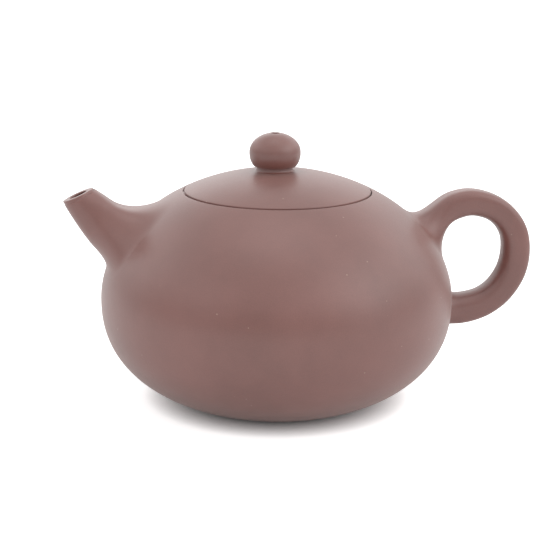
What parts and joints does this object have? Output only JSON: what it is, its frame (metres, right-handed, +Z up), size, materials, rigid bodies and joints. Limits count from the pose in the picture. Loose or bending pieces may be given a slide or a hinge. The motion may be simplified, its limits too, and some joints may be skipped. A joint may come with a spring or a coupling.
{
  "type": "teapot",
  "caption": "Squat rounded teapot of unglazed purple clay with a flush lift-off lid, ball knob, short upright spout and ring handle.",
  "frame": {"origin": "centre of the flat resting face, on the axis of the lid", "axes": "+X towards the handle, -X towards the spout, +Z up along the axis of the lid"},
  "size_m": [0.1407, 0.1048, 0.0799],
  "materials": {
    "body_clay": "unglazed, burnished",
    "lid_clay": "unglazed, burnished",
    "inner_clay": "unglazed, raw"
  },
  "bodies": {
    "pot": {"base_disc": "body_clay", "body_wall": "body_clay", "mouth_ring": "body_clay", "strainer": "inner_clay", "spout": "body_clay", "handle": "body_clay"},
    "lid_carrier": {"lid_flange": "inner_clay"},
    "lid": {"lid_dome": "lid_clay", "lid_knob": "lid_clay"}
  },
  "joints": [
    {"name": "lid_lift", "type": "slide", "parent": "pot", "child": "lid_carrier", "axis": [0, 0, 1], "range_m": [0, 0.05]},
    {"name": "lid_turn", "type": "hinge", "parent": "lid_carrier", "child": "lid", "pos_m": [0, 0, 0.061], "axis": [0, 0, 1], "continuous": true}
  ]
}
